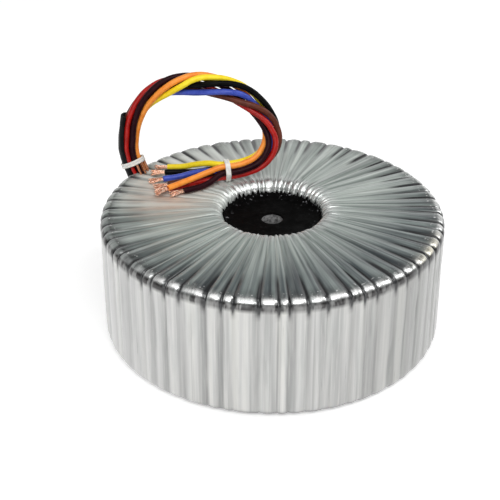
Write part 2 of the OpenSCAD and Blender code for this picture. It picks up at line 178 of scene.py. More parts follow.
def lead_path(which):
    points = []
    for k in range(LAST + 1):
        place, sides = lead_place(which, k), spine_frame(k)
        points.append(SPINE[k] + place[0] * sides[0] + place[1] * sides[1])
    return points + [above_body(p) for p in LAY[which][1]]


# ---------------------------------------------------------------- node trees
class Nodes:
    """A node tree. Its calls add nodes and return the last one's output, and add returns the node itself."""

    def __init__(self, tree):
        self.tree = tree

    def add(self, kind, **settings):
        node = self.tree.nodes.new(kind)
        for name, value in settings.items():
            setattr(node, name, value)
        return node

    def feed(self, socket, value):
        """Link an output to a socket, or set a number or a colour on it."""
        if isinstance(value, bpy.types.NodeSocket):
            self.tree.links.new(value, socket)
        else:
            socket.default_value = (*value, 1) if isinstance(value, tuple) else value

    def combine(self, operation, a, b, clamp=False):
        node = self.add("ShaderNodeMath", operation=operation, use_clamp=clamp)
        self.feed(node.inputs[0], a)
        self.feed(node.inputs[1], b)
        return node.outputs[0]

    def times(self, a, b):
        return self.combine("MULTIPLY", a, b)

    def mix_colors(self, share, a, b):
        node = self.add("ShaderNodeMix", data_type="RGBA", clamp_factor=True)
        for index, value in ((0, share), (6, a), (7, b)):
            self.feed(node.inputs[index], value)
        return node.outputs[2]

    def mix_numbers(self, share, a, b):
        node = self.add("ShaderNodeMix", data_type="FLOAT")
        for index, value in ((0, share), (2, a), (3, b)):
            self.feed(node.inputs[index], value)
        return node.outputs[0]

    def ramp(self, share, stops):
        node = self.add("ShaderNodeValToRGB")
        elements = node.color_ramp.elements
        while len(elements) < len(stops):
            elements.new(0.5)
        for element, (at, color) in zip(elements, stops):
            element.position = at
            element.color = (*color, 1)
        self.feed(node.inputs["Fac"], share)
        return node.outputs["Color"]

    def map_range(self, value, from_min, from_max, to_min, to_max):
        node = self.add("ShaderNodeMapRange", clamp=True)
        for name, number in (("Value", value), ("From Min", from_min), ("From Max", from_max),
                             ("To Min", to_min), ("To Max", to_max)):
            self.feed(node.inputs[name], number)
        return node.outputs["Result"]

    def noise(self, vector, scale, detail, rough=0.55):
        node = self.add("ShaderNodeTexNoise")
        for name, value in (("Vector", vector), ("Scale", scale), ("Detail", detail), ("Roughness", rough)):
            self.feed(node.inputs[name], value)
        return node.outputs["Fac"]

    def stretched(self, vector, scale):
        node = self.add("ShaderNodeMapping")
        node.inputs["Scale"].default_value = scale
        self.feed(node.inputs["Vector"], vector)
        return node.outputs["Vector"]

    def attribute(self, name, kind="Fac"):
        return self.add("ShaderNodeAttribute", attribute_name=name).outputs[kind]

    def distance(self, vector, centre):
        node = self.add("ShaderNodeVectorMath", operation="DISTANCE")
        self.feed(node.inputs[0], vector)
        node.inputs[1].default_value = centre
        return node.outputs["Value"]

    def seen_directly(self):
        """The light path node, and 1 on its rays from the camera, off a gloss or through glass."""
        path = self.add("ShaderNodeLightPath")
        seen = self.combine("MAXIMUM", path.outputs["Is Camera Ray"], path.outputs["Is Glossy Ray"])
        return path, self.combine("MAXIMUM", seen, path.outputs["Is Transmission Ray"])


class Surface(Nodes):
    """A material with one Principled shader."""

    def __init__(self, name, color, rough, sockets=None):
        self.material = bpy.data.materials.new(name)
        self.material.use_nodes = True
        super().__init__(self.material.node_tree)
        self.shader = self.tree.nodes["Principled BSDF"]
        self.place = self.add("ShaderNodeTexCoord").outputs["Object"]
        self.drive("Base Color", color)
        self.drive("Roughness", rough)
        for socket, value in (sockets or {}).items():
            self.shader.inputs[socket].default_value = value

    def drive(self, socket, value):
        self.feed(self.shader.inputs[socket], value)

    def bump(self, height, strength, distance, under=None):
        node = self.add("ShaderNodeBump")
        for name, value in (("Strength", strength), ("Distance", distance), ("Height", height)):
            self.feed(node.inputs[name], value)
        if under is not None:
            self.feed(node.inputs["Normal"], under)
        self.drive("Normal", node.outputs["Normal"])
        return node.outputs["Normal"]

    def mottle(self, scale, detail, stops, rough=0.55):
        """Let the colour follow a noise."""
        self.drive("Base Color", self.ramp(self.noise(self.place, scale, detail, rough), stops))

    def near(self, centre, inner, outer):
        """1 within the inner radius of a point and 0 beyond the outer one, in metres."""
        return self.map_range(self.distance(self.place, centre), inner, outer, 1.0, 0.0)

    def vary_gloss(self, scale, detail, at_low, at_high, start=0.3):
        """Let the roughness follow a noise."""
        spots = self.noise(self.place, scale, detail)
        self.drive("Roughness", self.map_range(spots, start, 0.7, at_low, at_high))

    def grain(self, scale, detail, strength, distance, under=None):
        """Let the normal follow a noise."""
        return self.bump(self.noise(self.place, scale, detail), strength, distance, under)


# ---------------------------------------------------------------- pieces
def stand_for(piece, node_name):
    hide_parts(node_name)
    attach(piece, "root")


def shade_smooth(ob):
    ob.data.polygons.foreach_set("use_smooth", [True] * len(ob.data.polygons))


def mesh_object(name, verts, faces, material, scale=MM):
    mesh = bpy.data.meshes.new(name)
    mesh.from_pydata([tuple(float(c) * scale for c in v) for v in verts], [], [tuple(f) for f in faces])
    mesh.validate()
    mesh.update()
    mesh.materials.append(material)
    return link_to_scene(name, mesh)


def round_edges(ob, width, least_angle):
    edge = ob.modifiers.new("edge", "BEVEL")
    edge.width, edge.segments = width * MM, 2
    edge.limit_method, edge.angle_limit = "ANGLE", math.radians(least_angle)


def tube_mesh(paths, radius, sides):
    """Verts and faces of closed tubes along lists of points, in mm."""
    verts, faces = [], []
    for path in paths:
        base = len(verts)
        across = unit(np.cross(direction_at(path, 0), [0.31, 0.47, 0.83]))
        for i, point in enumerate(path):
            along = direction_at(path, i)
            across = unit(across - along * (across @ along))
            third = np.cross(along, across)
            for j in range(sides):
                angle = 2 * math.pi * j / sides
                verts.append(point + radius * (math.cos(angle) * across + math.sin(angle) * third))
        for i in range(len(path) - 1):
            for j in range(sides):
                a, b = base + i * sides + j, base + i * sides + (j + 1) % sides
                faces.append((a, b, b + sides, a + sides))
        last = base + (len(path) - 1) * sides
        faces.append([base + j for j in range(sides)][::-1])
        faces.append([last + j for j in range(sides)])
    return verts, faces


# ---------------------------------------------------------------- leads
# the dark and the light tone of each lead, and how strongly it shines
PVC = {
    "orange": ((0.84, 0.22, 0.020), (0.94, 0.33, 0.05), 0.3),
    "yellow": ((0.90, 0.65, 0.010), (0.98, 0.79, 0.03), 0.3),
    "black": ((0.0015, 0.0015, 0.0015), (0.005, 0.005, 0.005), 0.05),
    "blue": ((0.030, 0.055, 0.36), (0.06, 0.10, 0.50), 0.3),
    "brown": ((0.075, 0.018, 0.010), (0.13, 0.034, 0.020), 0.15),
    "red": ((0.30, 0.005, 0.003), (0.45, 0.010, 0.007), 0.3),
    "violet": ((0.012, 0.002, 0.004), (0.026, 0.006, 0.009), 0.06)}


def pvc_material(color):
    dark, light, shine = PVC[color]
    pvc = Surface("pvc_" + color, light, 0.38, {"Specular IOR Level": shine})
    pvc.mottle(260, 4, [(0.3, dark), (0.62, light)])
    pvc.vary_gloss(700, 3, 0.24, 0.38)
    pvc.grain(2600, 2, 0.10, 0.0001)
    return pvc.material


def copper_material():
    copper = Surface("bare_copper", (0.86, 0.45, 0.28), 0.25, {"Metallic": 1.0})
    copper.mottle(900, 4, [(0.3, (0.60, 0.25, 0.14)), (0.5, (0.88, 0.53, 0.38)), (0.7, (0.98, 0.80, 0.68))])
    copper.vary_gloss(1500, 2, 0.18, 0.42)
    copper.grain(4000, 2, 0.2, 0.0001)
    return copper.material


def lead_curve(name, points, diameter, material):
    data = bpy.data.curves.new(name, "CURVE")
    data.dimensions = "3D"
    data.bevel_depth = diameter / 2 * MM
    data.bevel_resolution = 5
    data.resolution_u = 5
    data.use_fill_caps = True
    data.twist_mode = "MINIMUM"
    spline = data.splines.new("BEZIER")
    spline.bezier_points.add(len(points) - 1)
    for point, knot in zip(points, spline.bezier_points):
        knot.co = Vector(point) * MM
        knot.handle_left_type = knot.handle_right_type = "AUTO"
    data.materials.append(material)
    return link_to_scene(name, data)


WIRE_RINGS = ((0.0, 1), (0.42, 6), (0.84, 11))         # a ring's radius in mm, and how many wires it has
WIRE_STEPS = 12
WIRE_SHORT, WIRE_ROOT = 0.4, 0.6    # how far a wire stops short of its strip's end, and starts inside it


def copper_fan(which, path, rng, material):
    """Fine wires that leave the insulation's end twisted together, and spread a little."""
    end, along = path[-1], direction_at(path, len(path) - 1)
    aside = unit(np.array([along[1], -along[0], 0]))
    over = np.cross(aside, along)
    wires = []
    for ring, count in WIRE_RINGS:
        for i in range(count):
            start = 2 * math.pi * (i + rng.uniform(-0.2, 0.2)) / count
            turn = 1.3 + rng.uniform(-0.3, 0.3)
            spread = 0.55 + 0.75 * rng.random()
            length = (STRIP_L - WIRE_SHORT) * (0.80 + 0.2 * rng.random())
            lean = np.array([rng.uniform(-0.5, 0.5), rng.uniform(-0.25, 0.3)])
            wire = []
            for k in range(WIRE_STEPS + 1):
                s = k / WIRE_STEPS
                angle = start + turn * s
                reach = ring * (1 + spread * s ** 1.6)
                off = lean * s ** 2.2
                inside = WIRE_ROOT if k == 0 else 0
                wire.append(end + along * (length * s - inside)
                            + aside * (reach * math.cos(angle) + off[0] * 1.2)
                            + over * (reach * 0.75 * math.sin(angle) + off[1] - 0.25 * s * s))
            wires.append(wire)
    verts, faces = tube_mesh(wires, WIRE_R, 6)
    fan = mesh_object("copper_" + LEADS[which], verts, faces, material)
    shade_smooth(fan)
    stand_for(fan, "strands_" + LEADS[which])
    return fan


copper_look = copper_material()
for which, color in enumerate(LEADS):
    path = lead_path(which)
    lead = lead_curve("flex_" + color, path, LEAD_D, pvc_material(color))
    stand_for(lead, "lead_" + color)
    fan = copper_fan(which, path, random.Random(70 + which), copper_look)

# ---------------------------------------------------------------- pleated film
# where the mesh's columns lie in a pleat, from its notch at 0 to the next one at 1: denser near the notches
COLUMNS = np.array([0.0, 0.035, 0.07, 0.115, 0.17, 0.25, 0.34, 0.44, 0.54, 0.64, 0.74, 0.83, 0.90, 0.955])
pleat_widths = np.array([1 + SPREAD * ((i * 0.618) % 1 - 0.5) + 0.3 * SPREAD * math.sin(math.radians(i * 97))
                         for i in range(PLEATS)])
pleat_starts = np.concatenate([[0], np.cumsum(pleat_widths)])
WHOLE_TURN = pleat_starts[-1]
notch_shares = np.array([0.65 + 0.35 * math.sin(math.radians(i * 151)) for i in range(PLEATS)])


def pleat_angle(pleat, part):
    """The azimuth at a part of a pleat's width."""
    return 2 * math.pi * (pleat_starts[pleat] + part * pleat_widths[pleat]) / WHOLE_TURN


# per column of the film: its azimuth, its notch's depth and its place in its pleat
theta = np.concatenate([pleat_angle(i, COLUMNS) for i in range(PLEATS)])
notch_share = np.repeat(notch_shares, len(COLUMNS))[:, None]
in_pleat = np.tile(COLUMNS, PLEATS)[:, None]


def section_points():
    """Rows of (r, z, normal r, normal z) from the hole's foot, under the body, up the wall, over the top
    and down into the hole."""
    rows = []

    def arc(centre, radius, first, last, count):
        for angle in np.radians(np.linspace(first, last, count)):
            r, z = np.array(centre) + radius * around(angle)
            rows.append((r, z, math.cos(angle), math.sin(angle)))

    def line(start, end, count, normal):
        for s in np.linspace(0, 1, count + 2)[1:-1]:
            rows.append((start[0] + (end[0] - start[0]) * s, start[1] + (end[1] - start[1]) * s, *normal))

    shoulder, lip = (BODY_R - SHOULDER_R, BODY_H - SHOULDER_R), (HOLE_R + LIP_R, TOP - LIP_R)
    arc((HOLE_R + HOLE_FOOT_R, HOLE_FOOT_R), HOLE_FOOT_R, 180, 270, 4)
    line((HOLE_R + HOLE_FOOT_R, 0), (BODY_R - FOOT_R, 0), 6, (0, -1))
    arc((BODY_R - FOOT_R, FOOT_R), FOOT_R, 270, 360, 8)
    line((BODY_R, FOOT_R), (BODY_R, shoulder[1]), 24, (1, 0))
    arc(shoulder, SHOULDER_R, 0, 90, 17)
    line((shoulder[0], BODY_H), (lip[0], TOP), 34, (0.04, 1))
    arc(lip, LIP_R, 90, 180, 13)
    line((HOLE_R, lip[1]), (HOLE_R, HOLE_FOOT_R), 2, (-1, 0))
    return np.array(rows)


section = section_points()
run = np.concatenate([[0], np.cumsum(np.linalg.norm(np.diff(section[:, :2], axis=0), axis=1))])


def run_at(r, z):
    """The running length at the section's row that is nearest to a point."""
    return run[np.argmin(np.hypot(section[:, 0] - r, section[:, 1] - z))]


FOOT_END = run_at(BODY_R, FOOT_R)
WALL_TOP = run_at(BODY_R, BODY_H - SHOULDER_R)
SHOULDER = run_at(BODY_R - SHOULDER_R, BODY_H)
MID_SHOULDER = (WALL_TOP + SHOULDER) / 2
LIP = run_at(HOLE_R + LIP_R, TOP)
HOLE = run_at(HOLE_R, TOP - LIP_R)
END = run[-1]
SHOULDER_RUN = SHOULDER_R * math.pi / 2


def along_section(*stops):
    """A value for each row of the section, from pairs of (running length, value)."""
    return np.interp(run, [at for at, _ in stops], [value for _, value in stops])[None, :]


def on_shoulder(share):
    """The running length at a share of the way up round the shoulder."""
    return WALL_TOP + SHOULDER_RUN * share


def smooth(x):
    x = np.clip(x, 0, 1)
    return x * x * (3 - 2 * x)


def rise(x, start, end):
    """A smooth step from 0 at the start to 1 at the end."""
    return smooth((x - start) / (end - start))


def toward(azimuth):
    """For each column, 1 where it faces an azimuth in degrees and -1 where it faces away."""
    return np.cos(theta - math.radians(azimuth))[:, None]


notch_depth = along_section((0, 0.0), (FOOT_END, 0.4), (WALL_TOP - 5, 0.35), (WALL_TOP - 1, 0.7),
                            (MID_SHOULDER, 1.15), (SHOULDER, 0.95), (SHOULDER + 6, 0.65),
                            (SHOULDER + 16, 0.4), (LIP - 10, 0.3), (LIP, 0.6), (HOLE, 0.5), (END, 0.0))
# the notch's width as a share of its pleat, tight on the shoulder and soft on the wall
notch_width = along_section((0, 0.3), (FOOT_END, 0.30), (WALL_TOP - 5, 0.16), (WALL_TOP, 0.12),
                            (SHOULDER, 0.12), (SHOULDER + 15, 0.2), (LIP, 0.26), (END, 0.3))
# its flanks' steepness, and how much wider the second flank is
NOTCH_FALL, NOTCH_SKEW = 1.6, 1.7
notch = np.maximum(np.exp(-(in_pleat / notch_width) ** 2 * NOTCH_FALL),
                   np.exp(-((1 - in_pleat) / (notch_width * NOTCH_SKEW)) ** 2 * NOTCH_FALL))
off_middle = (2 * in_pleat - 1) ** 2                    # 0 in the middle of a pleat, 1 at its notches
PUFF = 0.22
puff = PUFF * along_section((0, 0), (FOOT_END, 0.6), (WALL_TOP - 4, 0.9), (MID_SHOULDER, 1.8),
                            (SHOULDER + 2, 1.0), (LIP, 0.8), (HOLE, 1.0), (END, 0)) * off_middle

CREASES = 620
CREASE_WIDTHS, CREASE_DEPTHS = (0.45, 1.1), (0.10, 0.34)
TOP_CREASE = 0.55                                       # the factor on the depth of those on the top
CREASE_REACH = 0.16                                     # no crease is felt beyond this angle, in radians
LIGHT_ASIDE, LIGHT_FALL = 1.3, 1.4                      # its painted highlight edge's place in widths, and steepness


def crease_span(rng):
    """One crease's first and last running length, its drift round the ring, and its depth's factor."""
    zone = rng.random()
    if zone < 0.40:            # on the top, from the shoulder or further in
        start = SHOULDER - rng.uniform(0, 3) if rng.random() < 0.7 else SHOULDER + rng.uniform(6, 30)
        return start, start + rng.uniform(14, 60), rng.uniform(-0.03, 0.03), TOP_CREASE
    if zone < 0.80:            # on the wall
        end = WALL_TOP + rng.uniform(0, 2) if rng.random() < 0.6 else WALL_TOP - rng.uniform(5, 30)
        return end - rng.uniform(16, 58), end, rng.uniform(-0.035, 0.035), 1
    if zone < 0.92:            # over the lip
        return LIP - rng.uniform(2, 16), HOLE + 4, rng.uniform(-0.08, 0.08), 1
    # over the shoulder
    return WALL_TOP - rng.uniform(0, 5), SHOULDER + rng.uniform(0, 6), rng.uniform(-0.01, 0.01), 1


def fine_creases():
    """Relief in mm, and the painted highlight beside each crease, for every column and row."""
    rng = random.Random(11)
    dips = np.zeros((len(theta), len(run)))
    light = np.zeros_like(dips)
    radii = np.maximum(section[:, 0], HOLE_R)[None, :]
    for _ in range(CREASES):
        start, end, drift, factor = crease_span(rng)
        where = rng.uniform(0, 2 * math.pi)
        width = rng.uniform(*CREASE_WIDTHS)
        depth = rng.uniform(*CREASE_DEPTHS) * factor
        rows = np.nonzero((run >= start) & (run <= end))[0]
        if not len(rows):
            continue
        from_it = (theta - where + math.pi) % (2 * math.pi) - math.pi
        columns = np.nonzero(np.abs(from_it) < CREASE_REACH)[0]
        s = ((run[rows] - start) / (end - start))[None, :]
        fade = smooth(s * 4) * smooth((1 - s) * 3)
        gap = (theta[columns][:, None] - where - drift * s + math.pi) % (2 * math.pi) - math.pi
        x = gap * radii[:, rows] / width
        here = np.ix_(columns, rows)
        dips[here] += depth * fade * np.exp(-x * x)
        edge = fade * np.exp(-((x - LIGHT_ASIDE) ** 2) * LIGHT_FALL) * (depth / CREASE_DEPTHS[1])
        light[here] = np.maximum(light[here], edge)
    return dips, light


creases, crease_highlight = fine_creases()
DEEPEST_RELIEF = 2.0
relief = np.minimum(notch_depth * notch_share * notch + puff + creases * along_section(
    (0, 0), (FOOT_END - 4, 0.2), (FOOT_END + 4, 1), (HOLE, 1), (END, 0)), DEEPEST_RELIEF)


def film_mesh():
    radius = section[:, 0] - section[:, 2] * relief
    height = np.maximum(section[:, 1] - section[:, 3] * relief, 0.0)
    columns, rows = radius.shape
    verts = np.stack([radius * np.cos(theta)[:, None], radius * np.sin(theta)[:, None], height], axis=2)
    column, row = np.meshgrid(np.arange(columns), np.arange(rows - 1), indexing="ij")
    a = (column * rows + row).ravel()
    b = (((column + 1) % columns) * rows + row).ravel()
    return verts.reshape(-1, 3), np.stack([a, b, b + 1, a + 1], axis=1)


# on the top face: a place's centre, and the radii between which it fades, in metres
PALE_PATCH = ((-0.047, 0.034, 0.063), 0.020, 0.050)
WARM_PATCH = ((-0.050, 0.008, 0.063), 0.0, 0.027)
# a painted yellowish highlight on the right shoulder
YELLOW_HIGHLIGHT_PATCH = ((0.074, -0.036, 0.060), 0.0, 0.020)


def film_material():
    film = Surface("clear_film", (0.5, 0.52, 0.5), 0.3,
                   {"Metallic": 0.25, "Coat Weight": 0.55, "Coat Roughness": 0.2, "Coat IOR": 1.6})
    unrolled = film.attribute("polar", "Vector")

    def streaks(across, along, detail, rough=0.55):
        """Noise on the unrolled film, drawn out along the pleats."""
        return film.noise(film.stretched(unrolled, (across, along, 1)), 1.0, detail, rough)

    def paint(share, under, color):
        return film.mix_colors(share, under, color)

    def painted(name, share):
        return film.times(film.attribute(name), share)

    # wall: pale grey panels with darker edges, with painted shade on the right and painted light on the left
    light_streaks = streaks(900, 22, 4, 0.6)
    wall = film.ramp(streaks(210, 4, 2, 0.45), [
        (0.36, (0.35, 0.35, 0.345)), (0.46, (0.47, 0.47, 0.46)), (0.54, (0.56, 0.56, 0.55)),
        (0.66, (0.68, 0.68, 0.65))])
    wall = paint(film.map_range(streaks(520, 6, 2, 0.5), 0.55, 0.66, 0.0, 0.6), wall, (0.28, 0.28, 0.275))
    wall = paint(film.map_range(light_streaks, 0.50, 0.72, 0.0, 0.5), wall, (0.80, 0.79, 0.76))
    wall = paint(painted("wall_right_painted_shade", 0.78), wall, (0.27, 0.27, 0.26))
    wall = paint(painted("wall_left_painted_light", 0.4), wall, (0.86, 0.86, 0.85))

    # top: dark grey-green outside, lighter towards the hole, with a painted reflection round the ring, and a
    # pale patch and a warm one
    soft = streaks(330, 11, 2, 0.5)
    outer = film.ramp(soft, [
        (0.36, (0.030, 0.040, 0.045)), (0.5, (0.080, 0.102, 0.106)), (0.64, (0.21, 0.25, 0.24))])
    inner = film.ramp(soft, [
        (0.36, (0.19, 0.222, 0.205)), (0.5, (0.34, 0.39, 0.36)), (0.64, (0.55, 0.60, 0.56))])
    top = paint(film.attribute("inward_and_painted_reflection"), outer, inner)
    top = paint(film.times(film.near(*PALE_PATCH), 0.9), top, (0.76, 0.79, 0.74))
    warm = film.times(film.near(*WARM_PATCH), film.map_range(streaks(160, 9, 3, 0.5), 0.4, 0.6, 0.2, 0.85))
    top = paint(warm, top, (0.66, 0.45, 0.34))
    top = paint(film.map_range(light_streaks, 0.55, 0.75, 0.0, 0.22), top, (0.66, 0.72, 0.68))
    color = paint(film.attribute("on_top"), wall, top)

    # shoulder: a painted highlight band over a painted shade band, both patchy, and single painted glints
    # above them
    highlight_rim = film.attribute("highlight_rim")
    patches = streaks(300, 90, 2)
    color = paint(film.times(highlight_rim, film.map_range(patches, 0.36, 0.50, 0.4, 1.0)), color, (0.80, 0.80, 0.79))
    color = paint(film.times(film.attribute("shade"), film.map_range(patches, 0.47, 0.58, 1.0, 0.6)), color,
                  (0.012, 0.010, 0.010))
    color = paint(painted("painted_sparks", film.map_range(streaks(700, 600, 1), 0.63, 0.70, 0.0, 0.8)), color,
                  (0.85, 0.85, 0.84))
    # painted contact shadow along the foot
    color = paint(film.attribute("foot"), color, (0.05, 0.05, 0.05))

    # creases with their painted highlight edges and painted shade in them, a painted yellowish highlight on
    # the right shoulder, and painted shade in the notches
    color = paint(painted("edge", 0.4), color, (0.68, 0.73, 0.70))
    lines = film.combine("MULTIPLY", film.attribute("fine"), 0.6, clamp=True)
    color = paint(lines, color, (0.06, 0.07, 0.07))
    color = paint(film.times(film.near(*YELLOW_HIGHLIGHT_PATCH), film.times(highlight_rim, 0.8)), color, (0.86, 0.80, 0.62))
    color = paint(film.attribute("fold"), color, (0.010, 0.011, 0.012))
    film.drive("Base Color", color)

    film.drive("Metallic", film.map_range(highlight_rim, 0.0, 1.0, 0.12, 0.92))
    streaked = film.map_range(light_streaks, 0.3, 0.7, 0.26, 0.44)
    film.drive("Roughness", film.combine("SUBTRACT", streaked, film.times(highlight_rim, 0.12)))
    film.bump(film.combine("ADD", light_streaks, film.times(streaks(2400, 120, 2), 0.4)), 0.22, 0.0004)
    return film.material


def film_attributes():
    """What film_material reads, from 0 to 1: where the film is folded or creased, and where light and shade
    are painted on it.
    """
    left = 0.5 + 0.5 * toward(185)
    near_right = toward(-42)
    # painted reflection round the ring: lighter on the far side, as if it mirrored the light backdrop, darker
    # on the near right, as if it mirrored a dark one, and lighter on the left
    far = rise(toward(110), -0.5, 0.7) - 0.30 * rise(toward(-45), 0.5, 1.0) + 0.20 * rise(left, 0.72, 0.92)
    calm_left = 1 - 0.45 * rise(left, 0.74, 0.94) * along_section(
        (0, 0), (SHOULDER + 1, 0), (SHOULDER + 5, 1))
    fold = 2.2 * notch ** 1.6 * (0.7 + 0.3 * notch_share) * along_section(
        (0, 0.1), (FOOT_END, 0.09), (WALL_TOP - 6, 0.10), (WALL_TOP - 2.6, 0.35), (WALL_TOP - 1, 0.9),
        (MID_SHOULDER, 1.0), (SHOULDER, 1.0), (SHOULDER + 7, 0.75), (SHOULDER + 18, 0.12), (LIP - 6, 0.05),
        (LIP, 0.12), (END, 0.6))
    # painted shade on the left shoulder
    dim_left = 0.5 * rise(left, 0.80, 0.96) * along_section(
        (0, 0.0), (on_shoulder(0.3), 0.0), (on_shoulder(0.44), 1.0), (SHOULDER, 0.7), (SHOULDER + 2, 0.0))
    return {
        # painted shade in the notches and fine creases, and the painted highlight beside each crease
        "fold": np.clip(fold, 0, 1) * calm_left,
        "fine": np.clip(creases * 2.2, 0, 1) * along_section(
            (0, 0.2), (WALL_TOP - 3, 0.28), (WALL_TOP + 2, 0.8), (SHOULDER + 20, 0.8), (LIP, 0.4),
            (END, 0.4)),
        "edge": crease_highlight * along_section(
            (0, 0.4), (WALL_TOP - 2, 0.45), (SHOULDER, 0.8), (LIP, 0.9), (END, 0.5)),
        "on_top": rise(run, WALL_TOP + 1, WALL_TOP + 4)[None, :],
        # painted highlight on the shoulder and the lip: bright in the middle of each pleat, and less on the
        # left
        "highlight_rim": (1 - 0.85 * rise(left, 0.81, 0.97)) * (1 - 0.45 * off_middle) * along_section(
            (0, 0.0), (on_shoulder(0.32), 0.0), (on_shoulder(0.50), 1.0), (on_shoulder(0.78), 1.0),
            (on_shoulder(0.92), 0.3), (SHOULDER + 0.8, 0.05), (SHOULDER + 3, 0.0), (LIP - 4, 0.0),
            (LIP + 3, 0.9), (HOLE, 0.8)),
        # painted shade: a dark band under the shoulder's highlight and a fainter one over it, more on the
        # left shoulder
        "shade": dim_left + along_section(
            (0, 0.0), (WALL_TOP - 1.5, 0.0), (WALL_TOP - 0.2, 1.0), (on_shoulder(0.34), 1.0),
            (on_shoulder(0.48), 0.0), (on_shoulder(0.86), 0.0), (SHOULDER - 0.1, 0.5), (SHOULDER + 2.5, 0.35),
            (SHOULDER + 6, 0.0)),
        # painted contact shadow along the foot, stronger on the near right
        "foot": (0.4 + 0.6 * smooth(near_right * 1.4)) * along_section(
            (0, 0.3), (FOOT_END - 7.2, 0.6), (FOOT_END - 3.8, 1.0), (FOOT_END - 3.0, 0.85),
            (FOOT_END - 2.0, 0.0)),
        # darker outside and lighter towards the hole, plus the painted reflection round the ring
        "inward_and_painted_reflection": np.clip(rise(run, SHOULDER, LIP)[None, :] + far, 0, 1),
        # painted shade on the wall's right and painted light on its left
        "wall_right_painted_shade": rise(toward(-12), 0.5, 1.0),
        "wall_left_painted_light": rise(toward(195), 0.55, 1.0),
        # painted glints just above the shoulder's highlight
        "painted_sparks": along_section((0, 0.0), (on_shoulder(0.86), 0.0), (on_shoulder(0.92), 1.0),
                               (SHOULDER + 1.8, 1.0), (SHOULDER + 3, 0.0))}


film = mesh_object("film_wrap", *film_mesh(), film_material())
shade_smooth(film)
for name, values in film_attributes().items():
    layer = film.data.attributes.new(name, "FLOAT", "POINT")
    layer.data.foreach_set("value", np.broadcast_to(values, relief.shape).astype(np.float32).ravel())
# the unrolled film: the distance round the ring at UNROLL_R and along the section, in metres
UNROLL_R = 0.08
unrolled = np.zeros((*relief.shape, 3), np.float32)
unrolled[:, :, 0] = theta[:, None] * UNROLL_R
unrolled[:, :, 1] = run[None, :] * MM
layer = film.data.attributes.new("polar", "FLOAT_VECTOR", "POINT")
layer.data.foreach_set("vector", unrolled.ravel())
stand_for(film, "outer_wrap")

# ---------------------------------------------------------------- potting and bush
BUSH_SINK = 0.6                     # the bush ends this far below the resin
RESIN_COLUMNS = 6                   # the mesh's columns in a pleat
TALL_FINGERS = (23, 37)             # the pleats where the resin has crept furthest


def resin_material():
    resin = Surface("black_resin", (0.005, 0.005, 0.005), 0.6, {"Specular IOR Level": 0.02})
    cured = resin.ramp(resin.noise(resin.place, 420, 4), [
        (0.35, (0.001, 0.001, 0.001)), (0.60, (0.002, 0.002, 0.002)), (0.80, (0.012, 0.012, 0.013))])
    # small painted glints, as reflections, beyond 18 mm from the axis, where the resin climbs to the film
    climb = resin.map_range(resin.distance(resin.place, (0, 0, 0.058)), 0.018, 0.022, 0.0, 1.0)
    painted_glint = resin.map_range(resin.noise(resin.place, 620, 2), 0.645, 0.70, 0.0, 1.0)
    resin.drive("Base Color", resin.mix_colors(resin.times(climb, painted_glint), cured, (0.20, 0.20, 0.21)))
    resin.vary_gloss(160, 3, 0.62, 0.30, start=0.35)
    lumps = resin.grain(90, 3, 0.4, 0.0012)
    resin.grain(1100, 3, 0.3, 0.0003, under=lumps)
    return resin.material


def resin_section():
    """Rows of (radius, height above the potting's level, lumpiness), up the bore and out to the film."""
    bush_r = BORE_R + BUSH_WALL
    return [(bush_r, -POTTING_H, 0), (bush_r, -BUSH_SINK, 0), (BORE_R, -BUSH_SINK, 0), (BORE_R, -0.35, 0),
            (BORE_R + 0.15, -0.08, 0), (BORE_R + 0.5, 0, 0.05), (BORE_R + 2, 0, 0.2), (BORE_R + 5, -0.1, 0.3),
            (HOLE_R - 9, 0, 0.3), (HOLE_R - 6.5, 0.1, 0.3), (HOLE_R - 4.5, 0.25, 0.4),
            (HOLE_R - 3, 0.45, 0.5), (HOLE_R - 1.8, 0.8, 0.6), (HOLE_R - 0.9, 1.15, 0.8),
            (HOLE_R - 0.3, 1.5, 0), (HOLE_R - 0.15, 1.7, 0), (HOLE_R + 0.1, -2, 0), (HOLE_R, -4, 0),
            (HOLE_R, -POTTING_H, 0)]


def resin_mesh():
    rows = resin_section()
    edge = len(rows) - 5            # the row where the resin starts up the film
    columns = PLEATS * RESIN_COLUMNS
    rng = random.Random(5)
    creep = np.zeros(columns)
    for pleat in range(PLEATS):
        tall = 0.4 + 1.9 * rng.random() + (2.4 if pleat in TALL_FINGERS else 0)
        for step in range(-2, 3):
            column = (RESIN_COLUMNS * pleat + step) % columns
            creep[column] = max(creep[column], tall * (1, 0.7, 0.1)[abs(step)])
    waves = [(rng.uniform(0.2, 1), rng.randrange(2, 9), rng.uniform(0, 6.28)) for _ in range(8)]
    verts, faces = [], []
    for column in range(columns):
        angle = pleat_angle(column // RESIN_COLUMNS, column % RESIN_COLUMNS / RESIN_COLUMNS)
        lump = sum(size * math.sin(count * angle + phase) for size, count, phase in waves) / len(waves)
        for row, (radius, height, lumpy) in enumerate(rows):
            z = POTTING_H + height + lumpy * lump * 0.5
            if row in (edge, edge + 1):
                z += creep[column] * (0.55, 1.0)[row - edge]
            if row == edge + 1 and z > TOP - LIP_R:
                # the film's rolled lip leans away above the straight part of the hole
                up_lip = min((z - (TOP - LIP_R)) / LIP_R, 0.9)
                radius = HOLE_R + LIP_R * (1 - math.cos(math.asin(up_lip))) - 0.15
            verts.append((radius * math.cos(angle), radius * math.sin(angle), z))
    for column in range(columns):
        here, there = column * len(rows), (column + 1) % columns * len(rows)
        for row in range(len(rows)):
            up = (row + 1) % len(rows)
            faces.append((here + row, there + row, there + up, here + up))
    return verts, faces


resin = mesh_object("resin", *resin_mesh(), resin_material())
shade_smooth(resin)
stand_for(resin, "potting")


